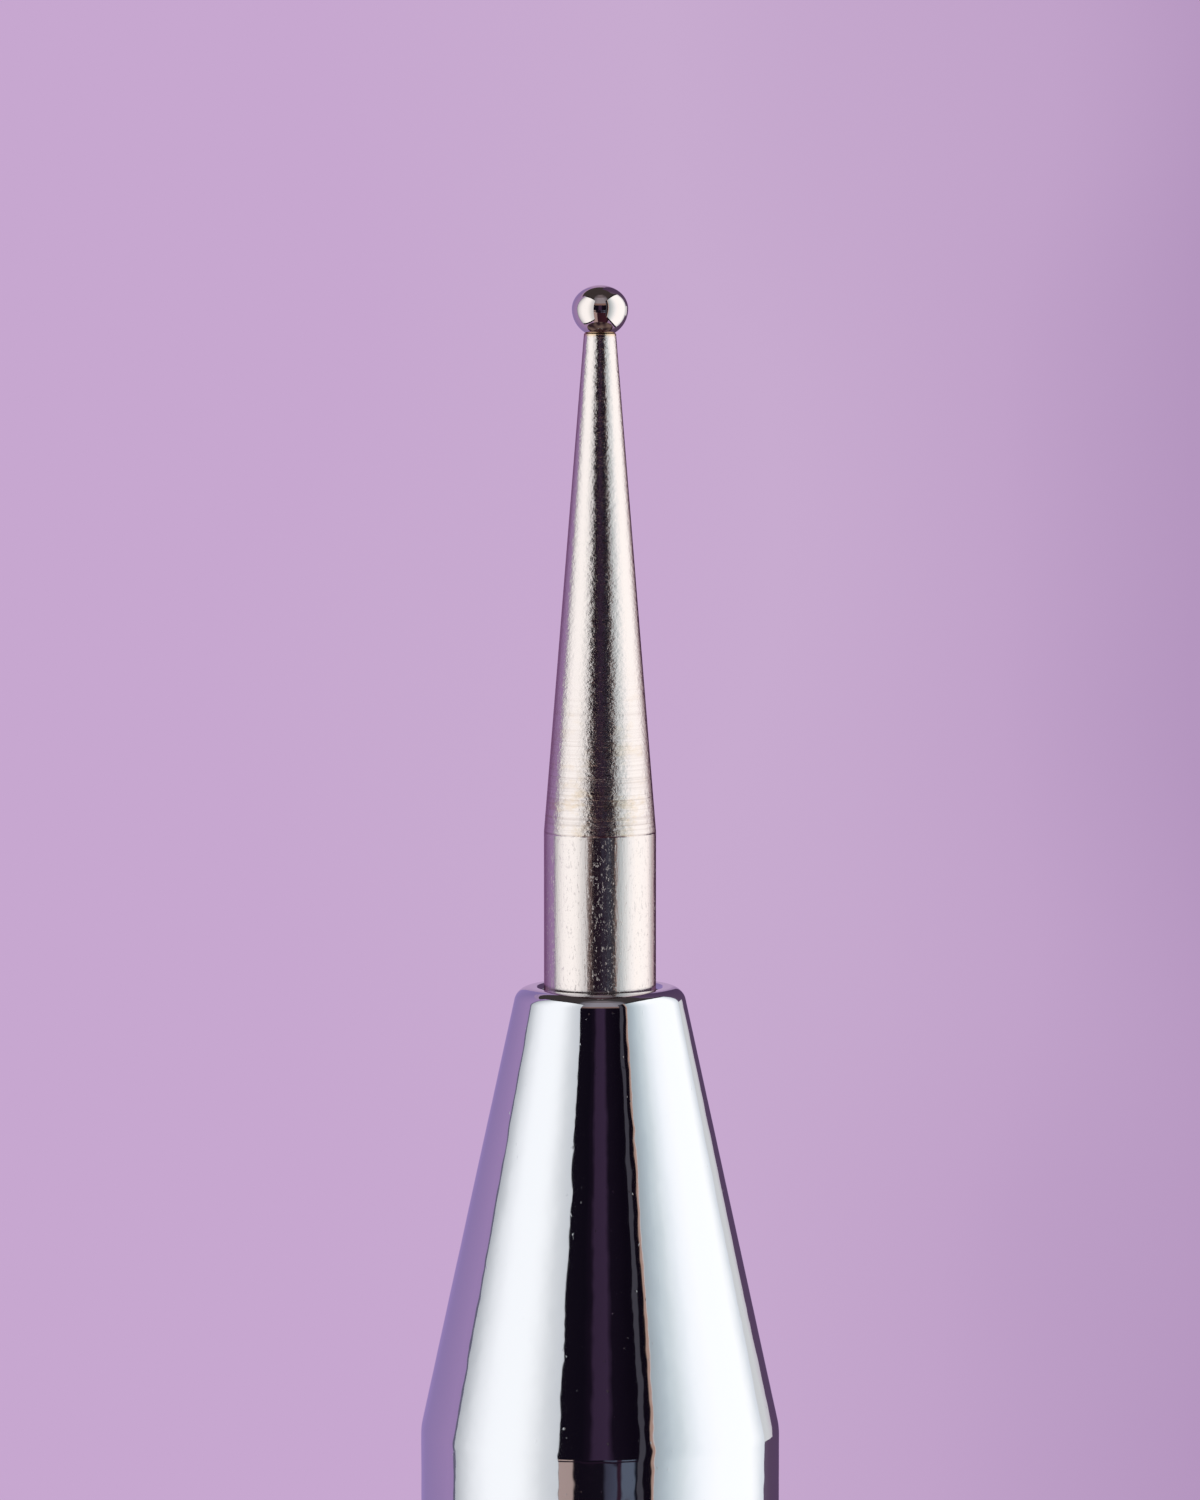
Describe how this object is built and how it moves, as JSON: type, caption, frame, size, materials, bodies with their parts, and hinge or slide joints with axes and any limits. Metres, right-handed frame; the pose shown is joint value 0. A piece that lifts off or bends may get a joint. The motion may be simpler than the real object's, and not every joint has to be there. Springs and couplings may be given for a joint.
{
  "type": "embossing stylus",
  "caption": "Double-ended embossing stylus: fine and broad ball tips on tapered stems, each clamped by a split collet under a screwed nose cone on a round fluted handle.",
  "frame": {"origin": "middle of the barrel tube, on the tool's axis", "axes": "+Z along the tool towards the fine ball tip; X and Y are across it, and the tool is round about Z"},
  "size_m": [0.0102, 0.0102, 0.1522],
  "materials": {
    "satin_aluminium": "satin anodised",
    "bright_chrome": "mirror plated",
    "fluted_nickel": "fluted and nickel plated",
    "turned_brass": "turned",
    "black_rubber": "matte",
    "turned_nickel": "turned and nickel plated",
    "polished_steel": "mirror polished"
  },
  "bodies": {
    "barrel": {"barrel_tube": "satin_aluminium", "front_trim_ring": "bright_chrome", "rear_trim_ring": "bright_chrome", "front_grip_sleeve": "fluted_nickel", "rear_grip_sleeve": "fluted_nickel", "front_chuck_insert": "turned_brass", "rear_chuck_insert": "turned_brass", "front_seal_ring": "black_rubber", "rear_seal_ring": "black_rubber"},
    "front_chuck": {"front_collet": "turned_brass"},
    "front_nose": {"front_nose_cone": "bright_chrome"},
    "front_tip": {"fine_stem": "turned_nickel", "fine_ball": "polished_steel"},
    "rear_chuck": {"rear_collet": "turned_brass"},
    "rear_nose": {"rear_nose_cone": "bright_chrome"},
    "rear_tip": {"broad_stem": "turned_nickel", "broad_ball": "polished_steel"}
  },
  "joints": [
    {"name": "front_chuck_travel", "type": "slide", "parent": "barrel", "child": "front_chuck", "axis": [0, 0, 1], "range_m": [0, 0.00675]},
    {"name": "front_nose_turn", "type": "hinge", "parent": "front_chuck", "child": "front_nose", "pos_m": [0, 0, 0.0449], "axis": [0, 0, 1], "range_deg": [0, 3240]},
    {"name": "front_tip_draw", "type": "slide", "parent": "front_chuck", "child": "front_tip", "axis": [0, 0, 1], "range_m": [0, 0.018]},
    {"name": "rear_chuck_travel", "type": "slide", "parent": "barrel", "child": "rear_chuck", "axis": [0, 0, -1], "range_m": [0, 0.00675]},
    {"name": "rear_nose_turn", "type": "hinge", "parent": "rear_chuck", "child": "rear_nose", "pos_m": [0, 0, -0.0449], "axis": [0, 0, -1], "range_deg": [0, 3240]},
    {"name": "rear_tip_draw", "type": "slide", "parent": "rear_chuck", "child": "rear_tip", "axis": [0, 0, -1], "range_m": [0, 0.018]}
  ],
  "couplings": [
    {"joint": "front_nose_turn", "follows": "front_chuck_travel", "rad_per_m": 8377.6},
    {"joint": "rear_nose_turn", "follows": "rear_chuck_travel", "rad_per_m": 8377.6}
  ]
}
